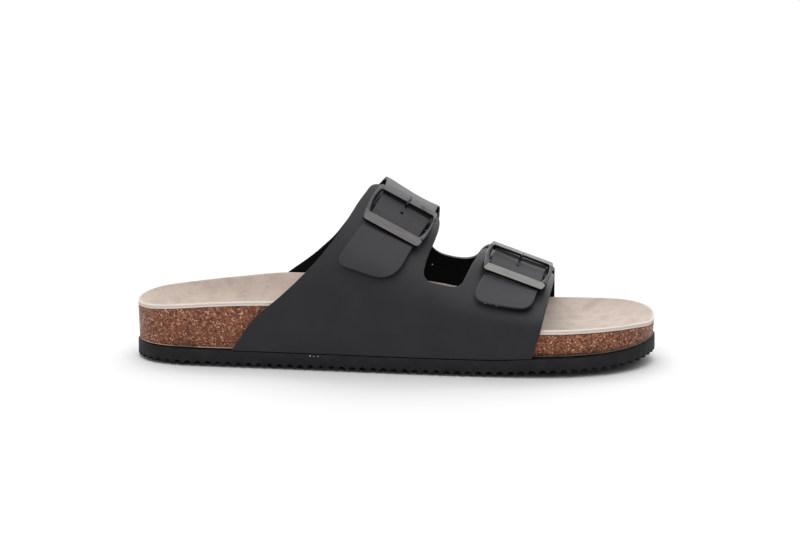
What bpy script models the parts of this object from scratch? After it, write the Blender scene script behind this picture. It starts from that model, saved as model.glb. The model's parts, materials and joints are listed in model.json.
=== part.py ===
"""Two-strap footbed sandal for the right foot, at its real size.

+X runs to the toes, +Y to the inner side of the foot and +Z up. The origin lies on the floor under
the middle of the sandal's box. Sizes are in millimetres, measured from the sole's middle line, and
become metres from the origin where a mesh is made.
"""

import math

import bmesh
import bpy
import numpy as np

MM = 0.001

# Clearance between pieces that touch, and the way from the sole's middle line to the box's.
GAP = 0.35
MIDDLE_SHIFT = 1.78

# Driving sizes
SOLE_LENGTH = 280.0
BALL_WIDTH = 100.0
INSTEP_HEIGHT = 93.5
HEEL_HEIGHT = 32.0
OUTSOLE_THICKNESS = 7.6
LINING_THICKNESS = 1.9
UPPER_THICKNESS = 1.9

# Sole outline seen from above: share of the length from the heel, share of the ball width from the
# middle line, inner side positive. The rows run from the heel along the outer side to the toes.
SOLE_OUTLINE = (
    ("heel back", 0.000, 0.000),
    ("outer heel corner", 0.040, -0.245),
    ("outer heel", 0.150, -0.340),
    ("outer waist", 0.357, -0.405),
    ("outer midfoot", 0.536, -0.465),
    ("outer ball", 0.710, -0.503),
    ("little toe", 0.850, -0.475),
    ("outer toe corner", 0.950, -0.315),
    ("toe tip", 1.000, 0.010),
    ("inner toe corner", 0.957, 0.300),
    ("big toe", 0.870, 0.430),
    ("inner ball", 0.743, 0.465),
    ("inner midfoot", 0.589, 0.385),
    ("inner waist", 0.446, 0.300),
    ("inner arch", 0.286, 0.305),
    ("inner heel", 0.143, 0.335),
    ("inner heel corner", 0.040, 0.245),
)
TOE_ROW = 8

# Sole from heel to toe: share of the length, lift of the underside off the floor, heights of the
# outer and inner rims and of the footbed's floor, steepness of the hollow's outer and inner sides.
SOLE_PROFILE_COLUMNS = ("along", "lift", "outer_rim", "inner_rim", "floor", "outer_steep", "inner_steep")
SOLE_PROFILE = (
    (0.000, 0.0, 0.915, 0.955, 0.72, 3.6, 3.6),
    (0.035, 0.0, 0.945, 1.000, 0.67, 3.6, 3.6),
    (0.080, 0.0, 0.990, 1.025, 0.63, 3.6, 3.6),
    (0.170, 0.0, 1.065, 1.112, 0.60, 3.6, 3.6),
    (0.290, 0.0, 1.100, 1.230, 0.64, 3.6, 2.6),
    (0.420, 0.0, 1.060, 1.205, 0.69, 3.6, 2.2),
    (0.560, 0.0, 0.920, 1.070, 0.65, 4.0, 2.6),
    (0.680, 0.0, 0.790, 0.830, 0.54, 4.5, 3.8),
    (0.780, 1.1, 0.760, 0.755, 0.50, 4.5, 4.5),
    (0.900, 2.0, 0.770, 0.783, 0.51, 4.5, 4.5),
    (0.955, 3.2, 0.762, 0.815, 0.56, 4.5, 4.5),
    (1.000, 5.5, 0.700, 0.800, 0.60, 4.5, 4.5),
)

# Half width over which the inner side's values change to the outer side's.
SIDE_BLEND = 15.0

# The cork's side stands back from the outsole's edge, more so where the upper covers it. The zone
# of the upper begins and ends over these stretches.
CORK_INSET_LOW = 1.5
CORK_INSET_HIGH = 0.8
UPPER_INSET = 1.6
UPPER_ZONE = ((-100.0, -72.0), (68.0, 96.0))

# Outsole teeth along its lower edge: their corners as shares of the pitch, and which are cut back.
TEETH_PER_SIDE = 58
TOOTH_PHASES = (0.00, 0.26, 0.40, 0.63, 0.86)
TOOTH_CUT = (0.0, 0.0, 0.75, 1.0, 0.75)
TOOTH_DEPTH = 1.8
TOOTH_REACH = 9.0

# Footbed rings from the edge to the middle, as shares of the way from the spine to the edge.
FOOTBED_SHARES = (1.0, 0.965, 0.90, 0.78, 0.56, 0.20)
CREST_SHARE = 0.965
RIM_ROUNDING = 0.7
FOOTBED_STEPS = 44
SPINE_ENDS = (-104.0, 92.0)

# Raised places of the footbed: middle, half spread along and across, height.
FOOTBED_PADS = (
    ("pad behind the toes' joints", 22.0, 0.0, 17.0, 15.0, 2.2),
    ("toe ridge", 70.0, -2.0, 7.0, 26.0, 1.6),
)

# The last's instep: share of the length, side shift of the crest, its height as a share of the
# instep height, and the roundness of the outer and inner flanks (2 is an ellipse).
LAST_COLUMNS = ("along", "crest_side", "crest", "outer_round", "inner_round")
LAST_SECTIONS = (
    (0.150, 4.0, 1.460, 1.9, 2.0),
    (0.486, 4.0, 1.000, 1.9, 2.0),
    (0.586, 4.0, 0.817, 1.9, 2.0),
    (0.696, 3.0, 0.610, 1.9, 2.0),
    (0.804, 2.0, 0.482, 1.9, 2.0),
)

# The quarters' edges below their tabs and straps: t of the row, rear edge and front edge. On the
# last, t is -1 at the outer foot of the upper, 0 at the crest and 1 at the inner foot.
QUARTER_COLUMNS = ("t", "rear", "front")
OUTER_QUARTER_EDGES = (
    (-1.000, -85.5, 75.0),
    (-0.940, -80.0, 76.5),
    (-0.860, -72.8, 78.3),
    (-0.780, -61.0, 80.0),
    (-0.650, -46.0, 82.0),
    (-0.590, -39.7, 82.8),
)
INNER_QUARTER_EDGES = (
    (0.520, -35.5, 85.0),
    (0.650, -49.0, 85.0),
    (0.740, -61.5, 85.0),
    (0.860, -77.0, 84.8),
    (0.940, -86.0, 84.4),
    (1.000, -91.5, 84.0),
)

# The notch between the two straps of a quarter: t of its lowest row, and how square its rear and front
# corners are.
OUTER_NOTCH = (-0.592, 11.0, 6.0)
INNER_NOTCH = (0.523, 3.5, 3.5)
NOTCH_SHARES = (0.025, 0.08, 0.20, 0.45, 0.70, 0.87, 0.96)

# The tabs of the outer quarter and the straps of the inner one, from their roots to their ends:
# rear edge, front edge, and how far the row is lifted off the last.
STRAP_COLUMNS = ("rear_t", "rear_x", "front_t", "front_x", "lift")
REAR_TAB = (
    (-0.590, -39.7, -0.545, 17.3, 0.0),
    (-0.450, -28.4, -0.450, 19.2, 0.0),
    (-0.340, -21.6, -0.330, 22.0, 0.0),
    (-0.230, -16.1, -0.230, 23.4, 0.0),
    (-0.110, -10.2, -0.100, 22.8, 0.0),
)
FRONT_TAB = (
    (-0.530, 38.4, -0.590, 82.8, 0.0),
    (-0.400, 41.9, -0.430, 84.2, 0.0),
    (-0.300, 44.3, -0.300, 85.2, 0.0),
    (-0.200, 46.3, -0.200, 85.8, 0.0),
    (-0.100, 47.8, -0.100, 86.0, 0.0),
)
REAR_STRAP = (
    (0.520, -35.5, 0.470, 17.6, 0.0),
    (0.360, -24.5, 0.340, 20.4, 0.0),
    (0.200, -14.2, 0.200, 22.2, 0.0),
    (0.070, -8.2, 0.060, 22.6, 0.3),
    (-0.055, -6.2, -0.065, 21.4, 1.4),
    (-0.195, -7.2, -0.225, 18.2, 4.9),
    (-0.335, -12.3, -0.400, 12.6, 4.2),
    (-0.450, -19.2, -0.490, 8.6, 2.9),
    (-0.584, -28.0, -0.626, 1.4, 2.3),
)
FRONT_STRAP = (
    (0.465, 42.3, 0.520, 85.0, 0.0),
    (0.310, 47.2, 0.330, 85.2, 0.0),
    (0.160, 52.4, 0.170, 84.8, 0.0),
    (0.030, 54.8, 0.030, 83.6, 0.4),
    (-0.080, 54.4, -0.080, 82.2, 2.3),
    (-0.230, 51.7, -0.230, 79.8, 5.5),
    (-0.410, 49.7, -0.475, 77.6, 4.3),
    (-0.510, 47.2, -0.570, 75.8, 2.9),
    (-0.640, 44.2, -0.667, 74.0, 2.9),
)

# Corner radii at the end of each tab and strap: rear corner, front corner.
REAR_TAB_CORNERS = (6.5, 5.0)
FRONT_TAB_CORNERS = (9.0, 5.0)
REAR_TIP_CORNERS = (4.5, 10.0)
FRONT_TIP_CORNERS = (5.0, 6.0)

# Cells of the upper: rows up a quarter, cells across a strap, step along it, rows before its end, rows
# on each side of a hole, and how near a fixed row an even one may come as a share of the step.
BASE_ROWS = 10
STRAP_CELLS = 6
STRAP_STEP = 5.6
TIP_ROWS = (0.0, 0.6, 1.8, 3.6, 6.2, 9.6)
HOLE_ROW_STEP = 2.1
ROW_CLEARANCE = 0.45

# Buckles: place of the frame's middle on the last, how much t falls from the rear side of the frame
# to its front side, and the tilt that lifts its thin bar. The top is the face's height over the last.
BUCKLES = {
    "rear": {"x": 2.5, "t": -0.311, "turn": 0.057, "tilt": 0.075, "top": 8.8},
    "front": {"x": 64.3, "t": -0.367, "turn": 0.043, "tilt": 0.135, "top": 9.9},
}
BUCKLE_WIDTH = 34.0
BUCKLE_TAPER = 0.8
BUCKLE_SPAN_X = 31.8
BUCKLE_BOW = 1.5
BUCKLE_HEIGHT = 24.0
BUCKLE_CORNERS = (2.6, 1.1)
WINDOW_CORNERS = (0.8, 0.6)
CORNER_CUT = 0.3
BAR_POINTS = 4
SIDE_POINTS = 7
THIN_BAR = 2.6
BROAD_BAR = 5.2
SIDE_BAR = 1.7
BAR_THICKNESS = 1.6
BUCKLE_CAMBER = 90.0

# The cheeks that carry the rod: height of their feet over the last, where they begin across the
# frame, and their half lengths at the foot and at the root.
CHEEK_FOOT = 3.05
CHEEK_START = (12.2, 14.6)
CHEEK_HALF = (3.5, 8.5)

# The rod under the strap, the prong from it and the strap's holes, placed down from the frame's
# middle. The prong's bends are given before its hole over the rod, and past it under its tip. The
# drop is from the frame's underside to the strap's face at the hole.
ROD_RADIUS = 0.7
ROD_HEIGHT = 3.3
ROD_PLACE = -2.0
PRONG_RADIUS = 0.6
PRONG_RISE = ((1.4, 0.0), (0.3, 1.0), (0.0, 2.4))
PRONG_FALL = ((0.05, 1.4), (0.8, 0.2), (2.2, 0.0), (3.2, 0.0))
PRONG_HOLE_PLACE = -8.3
HOLE_RADIUS = 1.15
HOLE_PITCH = 5.2
HOLE_DROP = 2.3
HOLE_STEPS = (-2, -1, 0, 1)
BAR_SIDES = 8

# How finely curves are followed, and the angle over which an edge stays sharp.
SPAN_POINTS = 40
FLANK_STEPS = 60
SEARCH_STEPS = 481
SHARP_ANGLE = math.radians(40)


def along(x):
    """Share of the sole's length from the heel at a place x."""
    return x / SOLE_LENGTH + 0.5


def smooth_step(value, start, end):
    share = min(max((value - start) / (end - start), 0.0), 1.0)
    return share * share * (3.0 - 2.0 * share)


def smooth_curve(stations, values):
    """A curve through the values at the stations, without overshoot between them."""
    xs = np.asarray(stations, float)
    ys = np.asarray(values, float)
    steps = np.diff(xs)
    slopes = np.diff(ys) / steps
    tangents = np.empty_like(ys)
    tangents[0], tangents[-1] = slopes[0], slopes[-1]
    for i in range(1, len(ys) - 1):
        before, after = slopes[i - 1], slopes[i]
        tangents[i] = 0.0
        if before * after > 0.0:
            weight = steps[i] + steps[i - 1]
            tangents[i] = 3.0 * weight / ((weight + steps[i]) / before + (weight + steps[i - 1]) / after)

    def value_at(x):
        x = np.clip(x, xs[0], xs[-1])
        i = np.clip(np.searchsorted(xs, x) - 1, 0, len(steps) - 1)
        t = (x - xs[i]) / steps[i]
        return (ys[i] * (1 + 2 * t) * (1 - t) ** 2 + ys[i + 1] * t * t * (3 - 2 * t)
                + steps[i] * (tangents[i] * t * (1 - t) ** 2 - tangents[i + 1] * t * t * (1 - t)))

    return value_at


def table_curves(columns, rows):
    """One smooth curve for each named column after the first, over the first."""
    data = list(zip(*rows))
    return {name: smooth_curve(data[0], data[i]) for i, name in enumerate(columns) if i}


PROFILE = table_curves(SOLE_PROFILE_COLUMNS, SOLE_PROFILE)
LAST = table_curves(LAST_COLUMNS, LAST_SECTIONS)


def closed_spline(points, per_span):
    """Dense points on a smooth closed curve through the given points, per_span to each span."""
    points = np.asarray(points, float)
    count = len(points)
    lengths = np.linalg.norm(np.roll(points, -1, axis=0) - points, axis=1)
    system = np.zeros((count, count))
    right = np.zeros((count, 2))
    for i in range(count):
        before, after = lengths[i - 1], lengths[i]
        ahead = points[(i + 1) % count] - points[i]
        behind = points[i] - points[i - 1]
        system[i, i - 1] += after
        system[i, i] += 2 * (before + after)
        system[i, (i + 1) % count] += before
        right[i] = 3 * (after * behind / before + before * ahead / after)
    tangents = np.linalg.solve(system, right)
    dense = []
    for i in range(count):
        j = (i + 1) % count
        for t in np.arange(per_span) / per_span:
            dense.append(points[i] * (1 + 2 * t) * (1 - t) ** 2 + points[j] * t * t * (3 - 2 * t)
                         + lengths[i] * (tangents[i] * t * (1 - t) ** 2 - tangents[j] * t * t * (1 - t)))
    return np.array(dense)


def outline_halves():
    """The sole's outline from heel to toe along its outer side and along its inner side."""
    points = [((share - 0.5) * SOLE_LENGTH, side * BALL_WIDTH) for name, share, side in SOLE_OUTLINE]
    dense = closed_spline(points, SPAN_POINTS)
    toe = TOE_ROW * SPAN_POINTS
    return dense[:toe + 1], np.vstack([dense[:1], dense[:toe - 1:-1]])


OUTER_HALF, INNER_HALF = outline_halves()


def along_half(half, shares):
    """Points of one half outline at shares of its length from heel to toe."""
    lengths = np.concatenate([[0.0], np.cumsum(np.linalg.norm(np.diff(half, axis=0), axis=1))])
    wanted = np.asarray(shares) * lengths[-1]
    return np.column_stack([np.interp(wanted, lengths, half[:, i]) for i in (0, 1)])


def sole_loop(shares):
    """Closed loop from the heel along the outer side to the toes and back along the inner side."""
    outer = along_half(OUTER_HALF, shares)
    inner = along_half(INNER_HALF, shares)
    return np.vstack([outer, inner[-2:0:-1]])


def inset_loop(loop, amounts):
    """The loop moved inwards by an amount at each point."""
    ahead = np.roll(loop, -1, axis=0) - np.roll(loop, 1, axis=0)
    ahead /= np.linalg.norm(ahead, axis=1)[:, None]
    inward = np.column_stack([-ahead[:, 1], ahead[:, 0]])
    return loop + inward * np.asarray(amounts)[:, None]


def outer_side(x):
    return np.interp(x, OUTER_HALF[:, 0], OUTER_HALF[:, 1])


def inner_side(x):
    return np.interp(x, INNER_HALF[:, 0], INNER_HALF[:, 1])


def lift(x):
    return PROFILE["lift"](along(x))


def side_value(name, x, y):
    """A value that the profile gives for both sides, blended across the middle line."""
    outer = PROFILE["outer_" + name](along(x))
    inner = PROFILE["inner_" + name](along(x))
    return outer + (inner - outer) * smooth_step(y, -SIDE_BLEND, SIDE_BLEND)


def rim_height(x, y):
    return HEEL_HEIGHT * side_value("rim", x, y)


def upper_inset(x):
    (rear_start, rear_end), (front_start, front_end) = UPPER_ZONE
    return UPPER_INSET * smooth_step(x, rear_start, rear_end) * (1 - smooth_step(x, front_start, front_end))


def last_flank(x, side):
    """One flank of the last's section at x, from the outsole up the cork and over to the crest."""
    edge = inner_side(x) if side > 0 else outer_side(x)
    wall = edge - side * (CORK_INSET_HIGH + upper_inset(x) - GAP)
    foot = lift(x) + OUTSOLE_THICKNESS + GAP
    rim = rim_height(x, edge)
    crest_side = LAST["crest_side"](along(x))
    crest = LAST["crest"](along(x)) * INSTEP_HEIGHT
    power = 2.0 / LAST["inner_round" if side > 0 else "outer_round"](along(x))
    turn = np.linspace(0.0, math.pi / 2, FLANK_STEPS)
    ys = crest_side + (wall - crest_side) * np.abs(np.cos(turn)) ** power
    zs = rim + (crest - rim) * np.sin(turn) ** power
    ys[-1] = crest_side
    return np.column_stack([np.concatenate([[wall], ys]), np.concatenate([[foot], zs])])


def last_point(x, t):
    """A point of the last: t is -1 at the outer foot of the upper, 0 at the crest, 1 at the inner foot."""
    side = 1.0 if t > 0 else -1.0
    flank = last_flank(x, side)
    lengths = np.concatenate([[0.0], np.cumsum(np.linalg.norm(np.diff(flank, axis=0), axis=1))])
    wanted = (1.0 - abs(t)) * lengths[-1]
    return np.array([x, np.interp(wanted, lengths, flank[:, 0]), np.interp(wanted, lengths, flank[:, 1])])


def last_normal(x, t):
    """Outward normal of the last."""
    step_x, step_t = 0.5, 0.01
    ahead = last_point(x + step_x, t) - last_point(x - step_x, t)
    low, high = max(t - step_t, -1.0), min(t + step_t, 1.0)
    around = last_point(x, high) - last_point(x, low)
    normal = np.cross(ahead, around)
    return normal / np.linalg.norm(normal)


def make_object(name, points, faces, material):
    mesh = bpy.data.meshes.new(name)
    mesh.from_pydata([(x * MM, (y + MIDDLE_SHIFT) * MM, z * MM) for x, y, z in points], [], faces)
    shape = bmesh.new()
    shape.from_mesh(mesh)
    bmesh.ops.recalc_face_normals(shape, faces=shape.faces)
    shape.to_mesh(mesh)
    shape.free()
    mesh.shade_smooth()
    mesh.set_sharp_from_angle(angle=SHARP_ANGLE)
    mesh.materials.append(material)
    obj = bpy.data.objects.new(name, mesh)
    bpy.context.scene.collection.objects.link(obj)
    return obj


def make_material(name, colour, roughness, metallic=0.0):
    material = bpy.data.materials.new(name)
    material.use_nodes = True
    shader = material.node_tree.nodes["Principled BSDF"]
    shader.inputs["Base Color"].default_value = (*colour, 1.0)
    shader.inputs["Roughness"].default_value = roughness
    shader.inputs["Metallic"].default_value = metallic
    return material


def bridge_rings(first, second, count):
    pairs = [(i, (i + 1) % count) for i in range(count)]
    return [(first + i, first + j, second + j, second + i) for i, j in pairs]


def close_ring(first, count):
    """Strips across a ring that is closed at heel and toe, joining outer points to inner ones."""
    half = count // 2
    faces = [(first, first + 1, first + count - 1)]
    for i in range(1, half - 1):
        faces.append((first + i, first + i + 1, first + count - i - 1, first + count - i))
    faces.append((first + half - 1, first + half, first + half + 1))
    return faces


def build_outsole(material):
    """Flat from heel to ball with a toe spring, its lower edge cut into teeth."""
    shares = [(tooth + phase) / TEETH_PER_SIDE for tooth in range(TEETH_PER_SIDE) for phase in TOOTH_PHASES]
    edge = sole_loop(shares + [1.0])
    cuts = list(TOOTH_CUT) * TEETH_PER_SIDE
    cuts = cuts + [0.0] + cuts[:0:-1]
    inner = inset_loop(edge, [TOOTH_REACH] * len(edge))
    bottom = [(x, y, lift(x) + cut * TOOTH_DEPTH) for (x, y), cut in zip(edge, cuts)]
    sole = [(x, y, lift(x)) for x, y in inner]
    top = [(x, y, lift(x) + OUTSOLE_THICKNESS) for x, y in edge]
    count = len(edge)
    faces = bridge_rings(0, count, count) + bridge_rings(0, 2 * count, count)
    faces += close_ring(count, count) + close_ring(2 * count, count)
    return make_object("outsole", bottom + sole + top, faces, material)


def footbed_rings(drop):
    """The footbed's surface as rings from its edge to its middle, lowered by drop."""
    shares = np.linspace(0.0, 1.0, FOOTBED_STEPS + 1)
    outline = sole_loop(shares)
    edge = inset_loop(outline, [CORK_INSET_HIGH + upper_inset(x) for x, y in outline])
    rings = []
    for share in FOOTBED_SHARES:
        ring = []
        for x, y in edge:
            spine_x = min(max(x, SPINE_ENDS[0]), SPINE_ENDS[1])
            spine_y = 0.5 * (outer_side(spine_x) + inner_side(spine_x))
            px = spine_x + (x - spine_x) * share
            py = spine_y + (y - spine_y) * share
            rim = rim_height(x, y)
            steep = side_value("steep", x, y)
            floor = PROFILE["floor"](along(px)) * HEEL_HEIGHT
            for name, pad_x, pad_y, spread_x, spread_y, height in FOOTBED_PADS:
                floor += height * math.exp(-((px - pad_x) / spread_x) ** 2 - ((py - pad_y) / spread_y) ** 2)
            height = floor + (rim - floor) * min(share / CREST_SHARE, 1.0) ** steep
            if share > CREST_SHARE:
                height -= RIM_ROUNDING
            ring.append((px, py, height - drop))
        rings.append(ring)
    return rings


def build_insole(material):
    """Suede lining that follows the footbed to its edge."""
    top, bottom = footbed_rings(0.0), footbed_rings(LINING_THICKNESS)
    count = len(top[0])
    points = [p for ring in top + bottom for p in ring]
    faces = bridge_rings(0, len(top) * count, count)
    for start in (0, len(top) * count):
        for i in range(len(top) - 1):
            faces += bridge_rings(start + i * count, start + (i + 1) * count, count)
        faces += close_ring(start + (len(top) - 1) * count, count)
    return make_object("suede_insole", points, faces, material)


def build_cork(material):
    """Footbed block between the outsole and the lining."""
    top = footbed_rings(LINING_THICKNESS + GAP)
    outline = sole_loop(np.linspace(0.0, 1.0, FOOTBED_STEPS + 1))
    foot = inset_loop(outline, [CORK_INSET_LOW + upper_inset(x) for x, y in outline])
    bottom = [(x, y, lift(x) + OUTSOLE_THICKNESS + GAP) for x, y in foot]
    count = len(bottom)
    points = bottom + [p for ring in top for p in ring]
    faces = close_ring(0, count) + bridge_rings(0, count, count)
    for i in range(1, len(top)):
        faces += bridge_rings(i * count, (i + 1) * count, count)
    faces += close_ring(len(top) * count, count)
    return make_object("cork_midsole", points, faces, material)


class Sheet:
    """A piece of upper material laid on the last, as faces over spots (x, t, lift)."""

    def __init__(self):
        self.spots = []
        self.faces = []

    def spot(self, x, t, lifted):
        self.spots.append((x, t, lifted))
        return len(self.spots) - 1

    def weave(self, rows):
        for low, high in zip(rows, rows[1:]):
            for i in range(len(low) - 1):
                self.faces.append((low[i], low[i + 1], high[i + 1], high[i]))

    def place(self, index, above=0.0):
        x, t, lifted = self.spots[index]
        return last_point(x, t) + (lifted + above) * last_normal(x, t)

    def punch(self, rows, row, column, radius):
        """An eight-sided hole in place of the spot at a row and column."""
        centre = rows[row][column]
        around = [(row - 1, column - 1), (row - 1, column), (row - 1, column + 1), (row, column + 1),
                  (row + 1, column + 1), (row + 1, column), (row + 1, column - 1), (row, column - 1)]
        frame = [rows[r][c] for r, c in around]
        self.faces = [face for face in self.faces if centre not in face]
        middle = np.array(self.spots[centre])
        ring = []
        for neighbour in frame:
            reach = np.linalg.norm(self.place(neighbour) - self.place(centre))
            ring.append(self.spot(*(middle + (np.array(self.spots[neighbour]) - middle) * radius / reach)))
        for i in range(8):
            j = (i + 1) % 8
            self.faces.append((frame[i], frame[j], ring[j], ring[i]))

    def build(self, name, material):
        """The sheet at its thickness, with its edges closed."""
        used = sorted({i for face in self.faces for i in face})
        number = {spot: i for i, spot in enumerate(used)}
        points = [self.place(i) for i in used] + [self.place(i, UPPER_THICKNESS) for i in used]
        faces, edges = [], {}
        for face in self.faces:
            inner = [number[i] for i in face]
            faces.append(tuple(inner))
            faces.append(tuple(i + len(used) for i in reversed(inner)))
            for a, b in zip(inner, inner[1:] + inner[:1]):
                if edges.pop((b, a), None) is None:
                    edges[(a, b)] = True
        faces += [(a, b, b + len(used), a + len(used)) for a, b in edges]
        return make_object(name, points, faces, material)


class Strap:
    """A tab or strap of the upper, measured in millimetres from its root to its end."""

    def __init__(self, table, corners):
        rows = [dict(zip(STRAP_COLUMNS, row)) for row in table]
        middles = [last_point((r["rear_x"] + r["front_x"]) / 2, (r["rear_t"] + r["front_t"]) / 2)
                   for r in rows]
        steps = [np.linalg.norm(b - a) for a, b in zip(middles, middles[1:])]
        stations = np.concatenate([[0.0], np.cumsum(steps)])
        self.curves = {name: smooth_curve(stations, [r[name] for r in rows]) for name in STRAP_COLUMNS}
        self.length = stations[-1]
        self.corners = corners
        self.holes = []

    def row(self, station):
        """Spots across the strap at a station, drawn in at the rounded corners of its end."""
        value = {name: float(curve(station)) for name, curve in self.curves.items()}
        rear = np.array([value["rear_x"], value["rear_t"]])
        front = np.array([value["front_x"], value["front_t"]])
        width = np.linalg.norm(last_point(*front) - last_point(*rear))
        left = self.length - station
        rear_in, front_in = [max(r - math.sqrt(max(r * r - max(r - left, 0.0) ** 2, 0.0)), 0.0)
                             for r in self.corners]
        shares = np.linspace(rear_in / width, 1.0 - front_in / width, STRAP_CELLS + 1)
        return [(*(rear + (front - rear) * share), value["lift"]) for share in shares]

    def middle(self, station):
        x, t, lifted = self.row(station)[STRAP_CELLS // 2]
        return last_point(x, t) + (lifted + UPPER_THICKNESS) * last_normal(x, t)

    def nearest(self, point):
        stations = np.linspace(0.0, self.length, SEARCH_STEPS)
        return min(stations, key=lambda s: np.linalg.norm(self.middle(s) - point))

    def stations(self):
        """Stations of the rows after the root: even steps, each hole's rows and the end's rows."""
        fixed = [hole + k * HOLE_ROW_STEP for hole in self.holes for k in (-1, 0, 1)]
        fixed += [self.length - d for d in TIP_ROWS]
        even = np.arange(STRAP_STEP, self.length - TIP_ROWS[-1], STRAP_STEP)
        free = [s for s in even if min(abs(s - f) for f in fixed) > ROW_CLEARANCE * STRAP_STEP]
        return sorted(free + fixed)


def lay_quarter(edges, notch, straps):
    """A quarter with its two straps: a base from the sole to the notch, and a strap on each side."""
    sheet = Sheet()
    rear_strap, front_strap = straps
    edge = table_curves(QUARTER_COLUMNS, edges)
    rear_root, front_root = rear_strap.row(0.0), front_strap.row(0.0)
    notch_t, rear_square, front_square = notch
    foot_t = math.copysign(1.0, notch_t)
    crown = list(rear_root)
    for share in NOTCH_SHARES:
        x = rear_root[-1][0] + (front_root[0][0] - rear_root[-1][0]) * share
        side_t, squareness = (rear_root[-1][1], rear_square) if share < 0.5 else (front_root[0][1], front_square)
        crown.append((x, notch_t + (side_t - notch_t) * abs(2 * share - 1) ** squareness, 0.0))
    crown += front_root
    columns = []
    for x, t, _ in crown:
        share = (x - edge["rear"](t)) / (edge["front"](t) - edge["rear"](t))
        heights = [foot_t + (t - foot_t) * k / BASE_ROWS for k in range(BASE_ROWS + 1)]
        places = [edge["rear"](h) + share * (edge["front"](h) - edge["rear"](h)) for h in heights]
        columns.append([sheet.spot(float(place), h, 0.0) for place, h in zip(places, heights)])
    base = [list(row) for row in zip(*columns)]
    sheet.weave(base)
    roots = (base[-1][:STRAP_CELLS + 1], base[-1][-STRAP_CELLS - 1:])
    for strap, root in zip(straps, roots):
        stations = strap.stations()
        rows = [root] + [[sheet.spot(*s) for s in strap.row(station)] for station in stations]
        sheet.weave(rows)
        for hole in strap.holes:
            sheet.punch(rows, stations.index(hole) + 1, STRAP_CELLS // 2, HOLE_RADIUS)
    return sheet


class BuckleFrame:
    """Axes of a buckle: along its bars, down the strap, and out from the shoe."""

    def __init__(self, x, t, turn, tilt, top):
        half = BUCKLE_SPAN_X / 2
        start, end = last_point(x - half, t + turn / 2), last_point(x + half, t - turn / 2)
        self.bar = (end - start) / np.linalg.norm(end - start)
        out = last_normal(x, t)
        out -= self.bar * np.dot(out, self.bar)
        out /= np.linalg.norm(out)
        down = np.cross(self.bar, out)
        self.out = out * math.cos(tilt) + down * math.sin(tilt)
        self.down = np.cross(self.bar, self.out)
        self.origin = last_point(x, t)
        self.top = top

    def point(self, u, v, n):
        """A place along the bars, down the strap and out, bent to the buckle's camber."""
        return self.origin + self.bar * u + self.down * v + self.out * (n - v * v / (2 * BUCKLE_CAMBER))


def buckle_side(half_width, top, bottom, v):
    """How far a side of the frame or its window stands out at a place down the strap."""
    share = (v - top) / (bottom - top)
    return half_width - BUCKLE_TAPER * share + 4 * BUCKLE_BOW * share * (1 - share)


def buckle_loop(half_width, top, bottom, corners):
    """Outline of the frame or its window: straight bars, bowed sides and cut corners."""
    top_corner, low_corner = corners
    across = np.linspace(0.0, 1.0, BAR_POINTS)
    top_half = buckle_side(half_width, top, bottom, top)
    low_half = buckle_side(half_width, top, bottom, bottom)
    top_cut, low_cut = CORNER_CUT * top_corner, CORNER_CUT * low_corner
    half = [(share * (top_half - top_corner), top) for share in across]
    half.append((top_half - top_cut, top + top_cut))
    for v in np.linspace(top + top_corner, bottom - low_corner, SIDE_POINTS + 2):
        half.append((buckle_side(half_width, top, bottom, v), v))
    half.append((low_half - low_cut, bottom - low_cut))
    half += [(share * (low_half - low_corner), bottom) for share in across[::-1]]
    return half + [(-u, v) for u, v in half[-2:0:-1]]


def build_buckle(name, frame, material):
    """Flat frame with a thin bar above, a broad bar below and cheeks down to the rod."""
    top, bottom = -BUCKLE_HEIGHT / 2, BUCKLE_HEIGHT / 2
    outer = buckle_loop(BUCKLE_WIDTH / 2, top, bottom, BUCKLE_CORNERS)
    inner = buckle_loop(BUCKLE_WIDTH / 2 - SIDE_BAR, top + THIN_BAR, bottom - BROAD_BAR, WINDOW_CORNERS)
    points = []
    for loop in (outer, inner):
        for u, v in loop:
            points.append(frame.point(u, v, frame.top))
    for loop in (outer, inner):
        for u, v in loop:
            cheek = smooth_step(abs(u), *CHEEK_START) * (1 - smooth_step(abs(v - ROD_PLACE), *CHEEK_HALF))
            depth = BAR_THICKNESS + cheek * (frame.top - CHEEK_FOOT - BAR_THICKNESS)
            points.append(frame.point(u, v, frame.top - depth))
    count = len(outer)
    faces = []
    for a, b in ((0, 1), (1, 3), (3, 2), (2, 0)):
        faces += bridge_rings(a * count, b * count, count)
    return make_object(name, points, faces, material)


def build_round_bar(name, path, radius, beside, material):
    """Round bar along a path of points square to a direction beside it, with flat ends."""
    path = np.array(path)
    points, faces = [], []
    for i, place in enumerate(path):
        ahead = path[min(i + 1, len(path) - 1)] - path[max(i - 1, 0)]
        upward = np.cross(ahead / np.linalg.norm(ahead), beside)
        turns = [2 * math.pi * k / BAR_SIDES for k in range(BAR_SIDES)]
        points += [place + radius * (math.cos(a) * beside + math.sin(a) * upward) for a in turns]
    last_ring = (len(path) - 1) * BAR_SIDES
    for first in range(0, last_ring, BAR_SIDES):
        faces += bridge_rings(first, first + BAR_SIDES, BAR_SIDES)
    faces += [tuple(range(BAR_SIDES)), tuple(range(last_ring, last_ring + BAR_SIDES))]
    return make_object(name, points, faces, material)


def build_rod(name, frame, material):
    top, bottom = THIN_BAR - BUCKLE_HEIGHT / 2, BUCKLE_HEIGHT / 2 - BROAD_BAR
    reach = buckle_side(BUCKLE_WIDTH / 2 - SIDE_BAR, top, bottom, ROD_PLACE) - 2 * GAP
    path = [frame.point(u, ROD_PLACE, ROD_HEIGHT) for u in (-reach, reach)]
    return build_round_bar(name, path, ROD_RADIUS, frame.down, material)


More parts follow.
